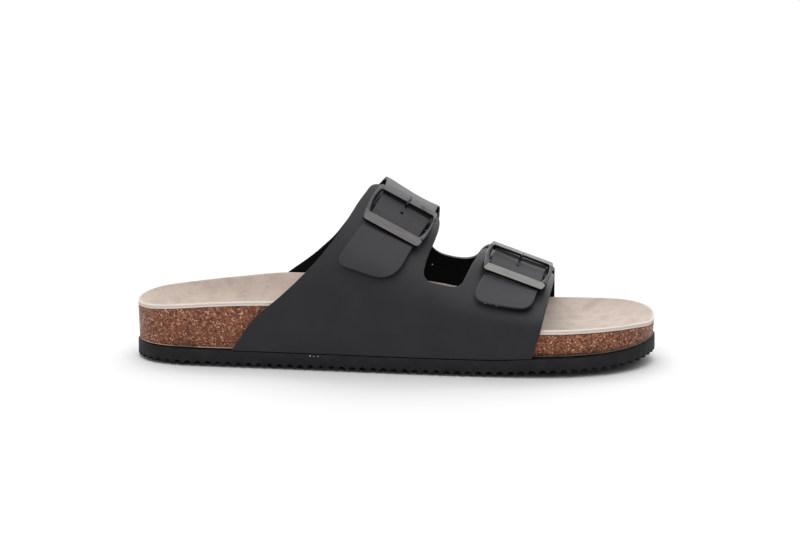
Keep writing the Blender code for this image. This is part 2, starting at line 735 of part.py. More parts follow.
def build_prong(name, frame, material):
    """From the rod under the strap, up through its hole and over the thin bar."""
    over = frame.top + GAP + PRONG_RADIUS
    side = [(ROD_PLACE - ROD_RADIUS - GAP, ROD_HEIGHT)]
    side += [(PRONG_HOLE_PLACE + before, ROD_HEIGHT + height) for before, height in PRONG_RISE]
    side += [(PRONG_HOLE_PLACE - past, over - depth) for past, depth in PRONG_FALL]
    path = [frame.point(0.0, v, n) for v, n in side]
    return build_round_bar(name, path, PRONG_RADIUS, frame.bar, material)


def build_sandal():
    for obj in list(bpy.data.objects):
        bpy.data.objects.remove(obj, do_unlink=True)
    rubber = make_material("outsole rubber", (0.012, 0.012, 0.013), 0.6)
    cork = make_material("cork", (0.22, 0.09, 0.045), 0.85)
    suede = make_material("suede lining", (0.50, 0.40, 0.31), 0.95)
    coated = make_material("coated black leather", (0.028, 0.028, 0.033), 0.5)
    metal = make_material("gunmetal", (0.16, 0.145, 0.135), 0.35, 1.0)
    build_outsole(rubber)
    build_cork(cork)
    build_insole(suede)
    rear_tab, front_tab = Strap(REAR_TAB, REAR_TAB_CORNERS), Strap(FRONT_TAB, FRONT_TAB_CORNERS)
    lay_quarter(OUTER_QUARTER_EDGES, OUTER_NOTCH, (rear_tab, front_tab)).build("outer_quarter", coated)
    rear_strap = Strap(REAR_STRAP, REAR_TIP_CORNERS)
    front_strap = Strap(FRONT_STRAP, FRONT_TIP_CORNERS)
    for place, strap in (("rear", rear_strap), ("front", front_strap)):
        frame = BuckleFrame(**BUCKLES[place])
        strap_face = frame.top - BAR_THICKNESS - HOLE_DROP
        places = [PRONG_HOLE_PLACE + step * HOLE_PITCH for step in HOLE_STEPS]
        strap.holes = [strap.nearest(frame.point(0.0, place, strap_face)) for place in places]
        build_buckle(place + "_buckle", frame, metal)
        build_rod(place + "_rod", frame, metal)
        build_prong(place + "_prong", frame, metal)
    lay_quarter(INNER_QUARTER_EDGES, INNER_NOTCH, (rear_strap, front_strap)).build("inner_quarter", coated)


build_sandal()
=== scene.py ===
"""Looks of the two-strap footbed sandal: foam sole, cork, suede lining, coated straps and buckles."""

import json
import math

import bpy
import numpy as np
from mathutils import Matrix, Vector

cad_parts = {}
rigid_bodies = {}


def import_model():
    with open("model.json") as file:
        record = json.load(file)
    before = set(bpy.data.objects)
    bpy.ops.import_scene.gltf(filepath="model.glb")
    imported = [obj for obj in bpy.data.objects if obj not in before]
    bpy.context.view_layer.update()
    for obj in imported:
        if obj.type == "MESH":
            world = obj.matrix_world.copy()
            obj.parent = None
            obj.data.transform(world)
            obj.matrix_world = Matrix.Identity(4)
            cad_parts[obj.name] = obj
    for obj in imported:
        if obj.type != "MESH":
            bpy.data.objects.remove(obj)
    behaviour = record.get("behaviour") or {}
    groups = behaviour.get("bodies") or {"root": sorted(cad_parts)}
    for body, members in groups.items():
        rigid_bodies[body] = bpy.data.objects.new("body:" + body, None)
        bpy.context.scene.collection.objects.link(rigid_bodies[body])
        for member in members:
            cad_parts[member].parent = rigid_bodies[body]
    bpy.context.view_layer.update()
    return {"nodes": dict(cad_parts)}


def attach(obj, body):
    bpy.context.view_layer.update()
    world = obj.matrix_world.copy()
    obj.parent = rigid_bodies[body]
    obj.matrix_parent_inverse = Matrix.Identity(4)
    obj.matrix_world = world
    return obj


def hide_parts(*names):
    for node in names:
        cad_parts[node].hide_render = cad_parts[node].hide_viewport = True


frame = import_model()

MM = 0.001

# Camera. A long lens stands a little above the sandal's outer side and a touch towards its toes, so
# the near rim hides little of the lining. The lens is worked out for a picture 800 pixels wide.
CAMERA_TURN = math.radians(4.0)
CAMERA_RISE = math.radians(10.5)
CAMERA_DISTANCE = 1600 * MM
CAMERA_TARGET = Vector((2.2, 1.8, 48.2)) * MM
PICTURE_WIDTH = 800
PIXELS_PER_MM = 1.850
SENSOR_WIDTH = 36.0

away = Vector((math.sin(CAMERA_TURN) * math.cos(CAMERA_RISE),
               -math.cos(CAMERA_TURN) * math.cos(CAMERA_RISE),
               math.sin(CAMERA_RISE)))
lens_data = bpy.data.cameras.new("side_camera")
lens_data.sensor_width = SENSOR_WIDTH
lens_data.lens = SENSOR_WIDTH * PIXELS_PER_MM * (CAMERA_DISTANCE / MM) / PICTURE_WIDTH
camera = bpy.data.objects.new("side_camera", lens_data)
camera.location = CAMERA_TARGET + away * CAMERA_DISTANCE
camera.rotation_mode = "QUATERNION"
camera.rotation_quaternion = away.to_track_quat("Z", "Y")
bpy.context.scene.collection.objects.link(camera)
bpy.context.scene.camera = camera

# Studio. A pale sweep lies under the sandal. A long soft ceiling light reaches from above the camera to
# behind the sandal, the room beside it is dim, and a small lamp at the back puts glints on the metal.
FLOOR_HALF = 6.0
FLOOR_DROP = 1.5 * MM
FLOOR_PALE = (0.60, 0.60, 0.60, 1.0)
SKY_RISE = (0.0, 0.34, 0.64, 0.87, 1.0)
SKY_FRONT = (0.20, 1.10, 2.70, 3.50, 2.70)
SKY_BACK = (0.95, 2.20, 3.60, 2.40, 2.70)
SKY_SIDES = (0.05, 0.05, 0.20, 1.25, 2.70)
SKY_TOP = 4.0
LAMP_SIZE = (0.50, 0.25)
LAMP_PLACE = Vector((-0.15, 0.55, 1.10))
LAMP_POWER = 1.5


def put_node(tree, kind, inputs=None, **settings):
    """One shader node with its settings, its inputs given values or joined to other nodes' sockets."""
    node = tree.nodes.new(kind)
    for name, value in settings.items():
        setattr(node, name, value)
    for name, value in (inputs or {}).items():
        if isinstance(value, bpy.types.NodeSocket):
            tree.links.new(value, node.inputs[name])
        else:
            node.inputs[name].default_value = value
    return node


bpy.ops.object.select_all(action="DESELECT")
bpy.ops.mesh.primitive_plane_add(size=2 * FLOOR_HALF, location=(0.0, 0.0, -FLOOR_DROP))
floor = bpy.context.active_object
floor.name = "floor"
paper = bpy.data.materials.new("white paper")
paper.use_nodes = True
paper.node_tree.nodes["Principled BSDF"].inputs["Base Color"].default_value = FLOOR_PALE
paper.node_tree.nodes["Principled BSDF"].inputs["Roughness"].default_value = 1.0
paper.node_tree.nodes["Principled BSDF"].inputs["Specular IOR Level"].default_value = 0.0
floor.data.materials.append(paper)

room = bpy.data.worlds.new("studio")
room.use_nodes = True
sky = room.node_tree
direction = put_node(sky, "ShaderNodeSeparateXYZ",
                     {"Vector": sky.nodes.new("ShaderNodeTexCoord").outputs["Generated"]})


def sky_sum(kind, first, second):
    """The result of one sum on two values of the sky."""
    return put_node(sky, "ShaderNodeMath", {0: first, 1: second}, operation=kind).outputs["Value"]


def fill_stops(palette, stops):
    """Gives a colour ramp its stops, each with a place and a colour."""
    for i, (place, colour) in enumerate(stops):
        stop = palette.color_ramp.elements[i] if i < 2 else palette.color_ramp.elements.new(place)
        stop.position = place
        stop.color = colour


def sky_profile(levels):
    """Brightness of the sky from the horizon to overhead."""
    profile = put_node(sky, "ShaderNodeValToRGB", {"Fac": direction.outputs["Z"]})
    shares = [level / SKY_TOP for level in levels]
    fill_stops(profile, [(rise, (share, share, share, 1.0)) for rise, share in zip(SKY_RISE, shares)])
    return profile.outputs["Color"]


ahead = sky_sum("POWER", direction.outputs["Y"], 2.0)
aside = sky_sum("POWER", direction.outputs["X"], 2.0)
lengthwise = sky_sum("DIVIDE", ahead, sky_sum("ADD", sky_sum("ADD", ahead, aside), 1e-6))
behind = sky_sum("GREATER_THAN", direction.outputs["Y"], 0.0)
ceiling = put_node(sky, "ShaderNodeMix", {0: behind, 6: sky_profile(SKY_FRONT), 7: sky_profile(SKY_BACK)},
                   data_type="RGBA")
glow = put_node(sky, "ShaderNodeMix", {0: lengthwise, 6: sky_profile(SKY_SIDES), 7: ceiling.outputs[2]},
                data_type="RGBA")
sky.links.new(glow.outputs[2], sky.nodes["Background"].inputs["Color"])
sky.nodes["Background"].inputs["Strength"].default_value = SKY_TOP
bpy.context.scene.world = room
bpy.context.scene.view_settings.view_transform = "Standard"

lamp_light = bpy.data.lights.new("lamp", "AREA")
lamp_light.shape = "RECTANGLE"
lamp_light.size, lamp_light.size_y = LAMP_SIZE
lamp_light.energy = LAMP_POWER
lamp = bpy.data.objects.new("lamp", lamp_light)
lamp.location = LAMP_PLACE
lamp.rotation_mode = "QUATERNION"
lamp.rotation_quaternion = (LAMP_PLACE - CAMERA_TARGET).to_track_quat("Z", "Y")
bpy.context.scene.collection.objects.link(lamp)

# Outsole. One slab of black foam rubber is cut to the foot's outline, flat from heel to ball with a
# sprung toe. Its lower edge is moulded into small teeth and its underside into wavy tread ribs.
RUBBER_BLACK = (0.0098, 0.0098, 0.0112, 1.0)
RUBBER_GREY = (0.0150, 0.0150, 0.0166, 1.0)
GLUE_GREY = (0.45, 0.44, 0.42, 1.0)
GLUE_SPOTS = ((-42.9, -38.4, 6.75, 0.42), (-40.9, -38.6, 6.60, 0.30), (-38.6, -38.9, 6.65, 0.36))
SOLE_EDGE_ROUND = 0.30 * MM
SHARP_EDGE = math.radians(48)
TREAD_BORDER = 0.9 * MM
TREAD_DEPTH = 1.4 * MM
RIB_STEP = 7.4 * MM
RIB_WAVE = 2.2 * MM
RIB_WAVE_LENGTH = 17.0 * MM
RIB_FOOT = 1.4 * MM
RIB_ROOT = 2.0 * MM
RIB_MARGIN = 3.2 * MM
RIB_POINTS = 41
TREAD_ENDS = (15.0 * MM, 13.0 * MM)
END_START = 100 * MM
END_LENGTH = 40 * MM
OUTSOLE_ENDS = (0.6 * MM, 0.0)
EDGE_SEGMENTS = 2
MERGE_GAP = 0.01 * MM
PAIR_ANGLE = math.radians(60)
SMOOTH_ANGLE = math.radians(40)
SIDE_LIMIT = 0.5
SOLE_LIMIT = -0.9
RUBBER_ROUGH = 0.65
RUBBER_GLOSS = 0.16
RUBBER_GRAIN = (7 * MM, 0.6 * MM)
RUBBER_PATCHES = (0.35, 0.75)
RUBBER_RELIEF = (0.4, 0.15 * MM)
CRUMB_CORE = 0.5


def copy_of_node(node, piece):
    """A piece with the shape of a CAD node, its loose triangles merged and paired into quads."""
    mesh = frame["nodes"][node].data.copy()
    mesh.materials.clear()
    shape = bpy.data.objects.new(piece, mesh)
    bpy.context.scene.collection.objects.link(shape)
    bpy.ops.object.select_all(action="DESELECT")
    shape.select_set(True)
    bpy.context.view_layer.objects.active = shape
    bpy.ops.object.mode_set(mode="EDIT")
    bpy.ops.mesh.select_all(action="SELECT")
    bpy.ops.mesh.remove_doubles(threshold=MERGE_GAP)
    bpy.ops.mesh.tris_convert_to_quads(face_threshold=PAIR_ANGLE, shape_threshold=PAIR_ANGLE)
    bpy.ops.object.mode_set(mode="OBJECT")
    return shape


def select_sharp_edges(shape, sharp):
    """Edit mode on a piece, with the edges selected over which its surface turns more than an angle."""
    bpy.context.view_layer.objects.active = shape
    bpy.ops.object.mode_set(mode="EDIT")
    bpy.ops.mesh.select_mode(type="EDGE")
    bpy.ops.mesh.select_all(action="DESELECT")
    bpy.ops.mesh.edges_select_sharp(sharpness=sharp)


def round_sharp_edges(shape, width, clamped=True):
    """Rounds every sharp edge of a piece."""
    select_sharp_edges(shape, SHARP_EDGE)
    bpy.ops.mesh.bevel(offset=width, segments=EDGE_SEGMENTS, affect="EDGES", clamp_overlap=clamped)
    bpy.ops.object.mode_set(mode="OBJECT")


def select_faces(shape, wanted):
    """Edit mode on a piece, with the faces selected that the test picks."""
    bpy.context.view_layer.objects.active = shape
    bpy.ops.object.mode_set(mode="EDIT")
    bpy.ops.mesh.select_mode(type="FACE")
    bpy.ops.mesh.select_all(action="DESELECT")
    bpy.ops.object.mode_set(mode="OBJECT")
    for face in shape.data.polygons:
        face.select = wanted(face)
    bpy.ops.object.mode_set(mode="EDIT")


def smooth_share(value, start, end):
    """A share that rises softly from 0 to 1 between two values."""
    share = np.clip((np.asarray(value) - start) / (end - start), 0.0, 1.0)
    return share * share * (3.0 - 2.0 * share)


def lengthen_ends(shape, ends):
    """Draws a piece's heel and toe out a little, fading out towards its middle."""
    heel, toe = ends
    for point in shape.data.vertices:
        point.co.x -= heel * smooth_share(-point.co.x, END_START, END_START + END_LENGTH)
        point.co.x += toe * smooth_share(point.co.x, END_START, END_START + END_LENGTH)


def new_material(name, roughness, **constants):
    """A material with its node tree and its shader, whose plain values are set on its sockets."""
    material = bpy.data.materials.new(name)
    material.use_nodes = True
    shader = material.node_tree.nodes["Principled BSDF"]
    shader.inputs["Roughness"].default_value = roughness
    for socket, value in constants.items():
        shader.inputs[socket].default_value = value
    return material, material.node_tree, shader


def blend_colours(tree, factor, first, second):
    """Colour between two colours or sockets by a factor."""
    mix = put_node(tree, "ShaderNodeMix", {0: factor, 6: first, 7: second}, data_type="RGBA")
    return mix.outputs[2]


def ramp(tree, factor, low, high):
    """A value that rises from 0 to 1 between two values of the factor."""
    step = put_node(tree, "ShaderNodeMapRange", {"Value": factor, "From Min": low, "From Max": high},
                    interpolation_type="SMOOTHSTEP")
    return step.outputs["Result"]


def add_bump(tree, shader, height, strength, distance):
    """Relief on a surface from a height that changes over it."""
    bump = put_node(tree, "ShaderNodeBump", {"Height": height, "Strength": strength, "Distance": distance})
    tree.links.new(bump.outputs["Normal"], shader.inputs["Normal"])


mottle = bpy.data.node_groups.new("mottle", "ShaderNodeTree")
mottle.interface.new_socket("Patch size", in_out="INPUT", socket_type="NodeSocketFloat")
mottle.interface.new_socket("Speck size", in_out="INPUT", socket_type="NodeSocketFloat")
mottle.interface.new_socket("Patches", in_out="OUTPUT", socket_type="NodeSocketFloat")
mottle.interface.new_socket("Specks", in_out="OUTPUT", socket_type="NodeSocketFloat")
mottle_in = mottle.nodes.new("NodeGroupInput")
mottle_out = mottle.nodes.new("NodeGroupOutput")
mottle_place = mottle.nodes.new("ShaderNodeTexCoord")
for size, output, detail in (("Patch size", "Patches", 3.0), ("Speck size", "Specks", 2.0)):
    scale = put_node(mottle, "ShaderNodeMath", {0: 1.0, 1: mottle_in.outputs[size]}, operation="DIVIDE")
    noise = put_node(mottle, "ShaderNodeTexNoise", {"Vector": mottle_place.outputs["Object"],
                                                   "Scale": scale.outputs["Value"], "Detail": detail})
    mottle.links.new(noise.outputs["Fac"], mottle_out.inputs[output])


def add_mottle(tree, patch_size, speck_size):
    """Uneven patches and fine specks over a surface, sizes in metres."""
    group = tree.nodes.new("ShaderNodeGroup")
    group.node_tree = mottle
    group.inputs["Patch size"].default_value = patch_size
    group.inputs["Speck size"].default_value = speck_size
    return group.outputs["Patches"], group.outputs["Specks"]


crumb = bpy.data.node_groups.new("crumb", "ShaderNodeTree")
crumb.interface.new_socket("Middle", in_out="INPUT", socket_type="NodeSocketVector")
crumb.interface.new_socket("Radius", in_out="INPUT", socket_type="NodeSocketFloat")
crumb.interface.new_socket("Mask", in_out="OUTPUT", socket_type="NodeSocketFloat")
crumb_in = crumb.nodes.new("NodeGroupInput")
crumb_out = crumb.nodes.new("NodeGroupOutput")
crumb_place = crumb.nodes.new("ShaderNodeTexCoord")
gap = put_node(crumb, "ShaderNodeVectorMath",
               {0: crumb_place.outputs["Object"], 1: crumb_in.outputs["Middle"]}, operation="DISTANCE")
share = put_node(crumb, "ShaderNodeMath", {0: gap.outputs["Value"], 1: crumb_in.outputs["Radius"]},
                 operation="DIVIDE")
inside = put_node(crumb, "ShaderNodeMapRange",
                  {"Value": share.outputs["Value"], "From Min": 1.0, "From Max": CRUMB_CORE})
crumb.links.new(inside.outputs["Result"], crumb_out.inputs["Mask"])


def add_crumbs(tree, colour, crumb_colour, spots):
    """A colour with small crumbs of glue or lint on it, their middles and radii in millimetres."""
    for x, y, z, radius in spots:
        group = tree.nodes.new("ShaderNodeGroup")
        group.node_tree = crumb
        group.inputs["Middle"].default_value = (x * MM, y * MM, z * MM)
        group.inputs["Radius"].default_value = radius * MM
        colour = blend_colours(tree, group.outputs["Mask"], colour, crumb_colour)
    return colour


outsole = copy_of_node("outsole", "outsole_foam")
corners = outsole.data.vertices
side_corners = {i for face in outsole.data.polygons if abs(face.normal.z) < SIDE_LIMIT
                for i in face.vertices}
tread_faces = [face for face in outsole.data.polygons
               if face.normal.z < SOLE_LIMIT and not side_corners.intersection(face.vertices)]
tread_ring = np.array(sorted({tuple(corners[i].co) for face in tread_faces for i in face.vertices}))
near_side = tread_ring[tread_ring[:, 1] < tread_ring[:, 1].mean()]
far_side = tread_ring[tread_ring[:, 1] >= tread_ring[:, 1].mean()]

tread_indices = {face.index for face in tread_faces}
select_faces(outsole, lambda face: face.index in tread_indices)
bpy.ops.mesh.inset(thickness=TREAD_BORDER, use_even_offset=False)
bpy.ops.transform.translate(value=(0.0, 0.0, TREAD_DEPTH))
bpy.ops.object.mode_set(mode="OBJECT")
round_sharp_edges(outsole, SOLE_EDGE_ROUND)

rib_points, rib_faces = [], []
for middle in np.arange(tread_ring[0, 0] + TREAD_ENDS[0], tread_ring[-1, 0] - TREAD_ENDS[1], RIB_STEP):
    low_y = np.interp(middle, near_side[:, 0], near_side[:, 1]) + RIB_MARGIN
    high_y = np.interp(middle, far_side[:, 0], far_side[:, 1]) - RIB_MARGIN
    for i, y in enumerate(np.linspace(low_y, high_y, RIB_POINTS)):
        x = middle + RIB_WAVE * math.sin(2 * math.pi * y / RIB_WAVE_LENGTH)
        foot = np.interp(x, tread_ring[:, 0], tread_ring[:, 2])
        first = len(rib_points)
        rib_points += [(x - RIB_ROOT, y, foot + TREAD_DEPTH), (x - RIB_FOOT, y, foot),
                       (x + RIB_FOOT, y, foot), (x + RIB_ROOT, y, foot + TREAD_DEPTH)]
        if i:
            for k in range(4):
                after = (k + 1) % 4
                rib_faces.append((first - 4 + k, first - 4 + after, first + after, first + k))
        else:
            rib_faces.append((first + 3, first + 2, first + 1, first))
    last = len(rib_points) - 4
    rib_faces.append((last, last + 1, last + 2, last + 3))
rib_mesh = bpy.data.meshes.new("tread_ribs")
rib_mesh.from_pydata(rib_points, [], rib_faces)
ribs = bpy.data.objects.new("tread_ribs", rib_mesh)
bpy.context.scene.collection.objects.link(ribs)
bpy.ops.object.select_all(action="DESELECT")
ribs.select_set(True)
bpy.context.view_layer.objects.active = ribs
bpy.ops.object.mode_set(mode="EDIT")
bpy.ops.mesh.select_all(action="SELECT")
bpy.ops.mesh.normals_make_consistent(inside=False)
bpy.ops.object.mode_set(mode="OBJECT")
outsole.select_set(True)
bpy.context.view_layer.objects.active = outsole
bpy.ops.object.join()
for corner in outsole.data.vertices:
    corner.co.z = max(corner.co.z, 0.0)
lengthen_ends(outsole, OUTSOLE_ENDS)
outsole.data.shade_smooth()
bpy.ops.object.shade_smooth_by_angle(angle=SMOOTH_ANGLE)

rubber, tree, shader = new_material("foam rubber", RUBBER_ROUGH, **{"Specular IOR Level": RUBBER_GLOSS})
patches, specks = add_mottle(tree, *RUBBER_GRAIN)
colour = blend_colours(tree, ramp(tree, patches, *RUBBER_PATCHES), RUBBER_BLACK, RUBBER_GREY)
colour = add_crumbs(tree, colour, GLUE_GREY, GLUE_SPOTS)
tree.links.new(colour, shader.inputs["Base Color"])
add_bump(tree, shader, specks, *RUBBER_RELIEF)
outsole.data.materials.append(rubber)
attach(outsole, "root")
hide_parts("outsole")

# Cork footbed. Ground cork granules are pressed with latex into a block that carries the foot's hollow,
# and its bare side shows the cut granules, with a ragged pale line of glue along the outsole.
CORK_SHADES = ((0.00, (0.060, 0.021, 0.014, 1.0)), (0.16, (0.120, 0.040, 0.023, 1.0)),
               (0.42, (0.205, 0.068, 0.036, 1.0)), (0.66, (0.270, 0.098, 0.052, 1.0)),
               (0.84, (0.350, 0.142, 0.076, 1.0)), (0.94, (0.460, 0.220, 0.125, 1.0)),
               (1.00, (0.620, 0.400, 0.270, 1.0)))
CORK_GAP = (0.055, 0.019, 0.013, 1.0)
GLUE_PALE = (0.60, 0.46, 0.36, 1.0)
GRANULE_SIZE = 0.85 * MM
CRUMBLE = 0.64 * MM
CRUMBLE_SIZE = 1.6 * MM
GAP_FADE = (0.10, 0.0)
CORK_SPECKS = (0.58, 0.74)
GLUE_HEIGHT = 0.80 * MM
GLUE_RAGGED = 1.6 * GLUE_HEIGHT
GLUE_FADE = (1.7 * GLUE_HEIGHT, 1.2 * GLUE_HEIGHT)
CORK_ROUGH = 0.80
CORK_FINISH = {"Specular IOR Level": 0.3, "Sheen Weight": 0.2, "Sheen Roughness": 0.4}
CORK_GRAIN = (12 * MM, 0.4 * MM)
CORK_RELIEF = (0.6, 0.3 * MM)
CORK_CREASE = 0.8
CORK_SHARP = math.radians(35)
SMOOTH_LEVELS = 2
RIM_ENDS = (1.5 * MM, 0.6 * MM)


def smooth_with_edges(shape, sharp, crease):
    """Subdivides a piece into a smooth surface that keeps its sharp edges."""
    select_sharp_edges(shape, sharp)
    bpy.ops.transform.edge_crease(value=crease)
    bpy.ops.object.mode_set(mode="OBJECT")
    modifier = shape.modifiers.new("smooth", "SUBSURF")
    modifier.levels = SMOOTH_LEVELS
    modifier.render_levels = SMOOTH_LEVELS
    bpy.ops.object.modifier_apply(modifier=modifier.name)
    shape.data.shade_smooth()


def give_values(shape, name, values):
    """A value at each of a piece's points that its material reads by name."""
    attribute = shape.data.attributes.new(name, "FLOAT", "POINT")
    attribute.data.foreach_set("value", values)


cork = copy_of_node("cork_midsole", "cork_footbed")
cork_points = np.array([v.co for v in cork.data.vertices])
sole_corners = {i for face in cork.data.polygons if face.normal.z < SOLE_LIMIT for i in face.vertices}
cork_sole = np.array(sorted({tuple(cork_points[i]) for i in sole_corners}))
sole_heights = np.interp(cork_points[:, 0], cork_sole[:, 0], cork_sole[:, 2])
give_values(cork, "above_sole", cork_points[:, 2] - sole_heights)
lengthen_ends(cork, RIM_ENDS)
smooth_with_edges(cork, CORK_SHARP, CORK_CREASE)
bpy.ops.object.shade_smooth_by_angle(angle=SMOOTH_ANGLE)

cork_material, tree, shader = new_material("cork granules", CORK_ROUGH, **CORK_FINISH)
place = tree.nodes.new("ShaderNodeTexCoord").outputs["Object"]
wobble = put_node(tree, "ShaderNodeTexNoise", {"Vector": place, "Scale": 1 / CRUMBLE_SIZE, "Detail": 2.0})
offset = put_node(tree, "ShaderNodeVectorMath", {0: wobble.outputs["Color"], 1: (0.5, 0.5, 0.5)},
                  operation="SUBTRACT")
offset = put_node(tree, "ShaderNodeVectorMath", {0: offset.outputs["Vector"], "Scale": CRUMBLE},
                  operation="SCALE")
place = put_node(tree, "ShaderNodeVectorMath", {0: place, 1: offset.outputs["Vector"]}, operation="ADD")
pattern = {"Vector": place.outputs["Vector"], "Scale": 1 / GRANULE_SIZE, "Randomness": 1.0}
granules = put_node(tree, "ShaderNodeTexVoronoi", pattern)
gaps = put_node(tree, "ShaderNodeTexVoronoi", pattern, feature="DISTANCE_TO_EDGE").outputs["Distance"]
shades = put_node(tree, "ShaderNodeSeparateColor", {"Color": granules.outputs["Color"]})
palette = put_node(tree, "ShaderNodeValToRGB", {"Fac": shades.outputs["Red"]})
fill_stops(palette, CORK_SHADES)
patches, specks = add_mottle(tree, *CORK_GRAIN)
colour = blend_colours(tree, ramp(tree, gaps, *GAP_FADE), palette.outputs["Color"], CORK_GAP)
colour = blend_colours(tree, ramp(tree, specks, *CORK_SPECKS), colour, CORK_GAP)
above = put_node(tree, "ShaderNodeAttribute", attribute_name="above_sole").outputs["Fac"]
ragged = put_node(tree, "ShaderNodeMath", {0: specks, 1: GLUE_RAGGED, 2: above}, operation="MULTIPLY_ADD")
colour = blend_colours(tree, ramp(tree, ragged.outputs["Value"], *GLUE_FADE), colour, GLUE_PALE)
tree.links.new(colour, shader.inputs["Base Color"])
add_bump(tree, shader, gaps, *CORK_RELIEF)
cork.data.materials.append(cork_material)
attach(cork, "root")
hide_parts("cork_midsole")

# Insole lining. Tan suede on a thin backing is glued over the hollow and cut flush with the cork, so its
# pale layered edge shows as a light band with a fine line all round the rim.
SUEDE_TAN = (0.418, 0.347, 0.301, 1.0)
SUEDE_DEEP = (0.330, 0.266, 0.225, 1.0)
EDGE_CREAM = (0.590, 0.535, 0.480, 1.0)
EDGE_LINE = (0.430, 0.365, 0.315, 1.0)
EDGE_GROOVE = 0.16 * MM
EDGE_FADE = (0.35, 0.75)
LINE_FADE = (0.45, 0.95)
UPRIGHT_REACH = 0.02 * MM
LAYER_CUTS = 3
LINING_CREASE = 0.7
LINING_SHARP = math.radians(28)
SUEDE_ROUGH = 0.95
SUEDE_FINISH = {"Specular IOR Level": 0.2, "Sheen Weight": 0.12, "Sheen Roughness": 0.6}
SUEDE_GRAIN = (9 * MM, 0.45 * MM)
SUEDE_PATCHES = (0.40, 0.78)
SUEDE_SPECKS = (0.52, 0.90)
SUEDE_RELIEF = (0.5, 0.25 * MM)
NAP_SCALE = (1 / (7 * MM), 1 / (1.6 * MM), 1 / (1.6 * MM))
NAP_FADE = (0.52, 0.80)

lining = copy_of_node("suede_insole", "suede_lining")
points = lining.data.vertices
bpy.ops.object.mode_set(mode="EDIT")
bpy.ops.mesh.select_mode(type="EDGE")
bpy.ops.mesh.select_all(action="DESELECT")
bpy.ops.object.mode_set(mode="OBJECT")
for edge in lining.data.edges:
    start, end = (points[i].co for i in edge.vertices)
    edge.select = (start.xy - end.xy).length < UPRIGHT_REACH
bpy.ops.object.mode_set(mode="EDIT")
bpy.ops.mesh.subdivide(number_cuts=LAYER_CUTS)
bpy.ops.object.mode_set(mode="OBJECT")
columns = {}
for point in lining.data.vertices:
    columns.setdefault((round(point.co.x / MM, 1), round(point.co.y / MM, 1)), []).append(point)
on_edge = np.zeros(len(lining.data.vertices))
in_line = np.zeros(len(lining.data.vertices))
for column in columns.values():
    if len(column) == LAYER_CUTS + 2:
        column.sort(key=lambda point: point.co.z)
        for point in column:
            on_edge[point.index] = 1.0
        halfway = column[len(column) // 2]
        in_line[halfway.index] = 1.0
        halfway.co -= halfway.normal * EDGE_GROOVE
give_values(lining, "on_edge", on_edge)
give_values(lining, "in_line", in_line)
lengthen_ends(lining, RIM_ENDS)
smooth_with_edges(lining, LINING_SHARP, LINING_CREASE)

suede, tree, shader = new_material("tan suede", SUEDE_ROUGH, **SUEDE_FINISH)
patches, specks = add_mottle(tree, *SUEDE_GRAIN)
place = tree.nodes.new("ShaderNodeTexCoord").outputs["Object"]
nap = put_node(tree, "ShaderNodeMapping", {"Vector": place, "Scale": NAP_SCALE})
nap = put_node(tree, "ShaderNodeTexNoise", {"Vector": nap.outputs["Vector"], "Scale": 1.0, "Detail": 4.0})
colour = blend_colours(tree, ramp(tree, patches, *SUEDE_PATCHES), SUEDE_TAN, SUEDE_DEEP)
colour = blend_colours(tree, ramp(tree, nap.outputs["Fac"], *NAP_FADE), colour, SUEDE_DEEP)
colour = blend_colours(tree, ramp(tree, specks, *SUEDE_SPECKS), colour, SUEDE_DEEP)
edge_mask = put_node(tree, "ShaderNodeAttribute", attribute_name="on_edge").outputs["Fac"]
line_mask = put_node(tree, "ShaderNodeAttribute", attribute_name="in_line").outputs["Fac"]
colour = blend_colours(tree, ramp(tree, edge_mask, *EDGE_FADE), colour, EDGE_CREAM)
colour = blend_colours(tree, ramp(tree, line_mask, *LINE_FADE), colour, EDGE_LINE)
tree.links.new(colour, shader.inputs["Base Color"])
add_bump(tree, shader, specks, *SUEDE_RELIEF)
lining.data.materials.append(suede)
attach(lining, "root")
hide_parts("suede_insole")

# Uppers. Each quarter is one piece of black coated leather with a felt back, glued to the cork's side
# and cut with its straps in one. The outer one ends in two tabs, the inner one in two long straps.
LEATHER_BLACK = (0.0108, 0.0104, 0.0128, 1.0)
LEATHER_GREY = (0.0142, 0.0138, 0.0165, 1.0)
# The inner quarter and its straps are the same leather, painted lighter for the light the straps catch from
# above.
LIT_STRAP_BLACK = (0.0256, 0.0250, 0.0286, 1.0)
LIT_STRAP_GREY = (0.0310, 0.0303, 0.0342, 1.0)
FELT_BLACK = (0.0030, 0.0030, 0.0032, 1.0)
FELT_GREY = (0.0070, 0.0070, 0.0072, 1.0)
CUT_EDGE_BLACK = (0.012, 0.012, 0.013, 1.0)
CUT_EDGE_GREY = (0.050, 0.049, 0.052, 1.0)
LINT_WHITE = (0.60, 0.60, 0.60, 1.0)
LINT_SPOTS = ((17.8, 35.6, 43.3, 0.45),)
FIBRE_SPOTS = ((50.33, -48.9, 38.56, 0.50), (56.36, -49.06, 37.40, 0.50), (52.95, -48.87, 37.95, 0.28))
LEATHER_EDGE_ROUND = 0.32 * MM
LEATHER_ROUGH = 0.47
LEATHER_ROUGH_ENDS = (0.44, 0.52)
LEATHER_GLOSS = 0.28
STRAP_GLOSS = 0.24
LEATHER_GRAIN = (16 * MM, 0.55 * MM)
LEATHER_PATCHES = (0.3, 0.7)
LEATHER_RELIEF = (0.20, 0.10 * MM)
FELT_ROUGH = 1.0
FELT_GLOSS = 0.05
FELT_GRAIN = (6 * MM, 0.35 * MM)
FELT_RELIEF = (0.5, 0.25 * MM)
CUT_EDGE_ROUGH = 0.55
CUT_EDGE_GLOSS = 0.4
CUT_EDGE_GRAIN = (4 * MM, 0.3 * MM)
CUT_EDGE_SPECKS = (0.35, 0.75)
CUT_EDGE_RELIEF = (0.4, 0.2 * MM)
FOOT_AXIS_HEIGHT = 26 * MM
FACING_LIMIT = 0.45
FRONT_FACING = 0.8
# Near black of the shade painted into the strap creases and under the frames, and of the uneven dark
# patches on polished metal.
SHADE_AND_TARNISH_BLACK = (0.0025, 0.0025, 0.0028, 1.0)
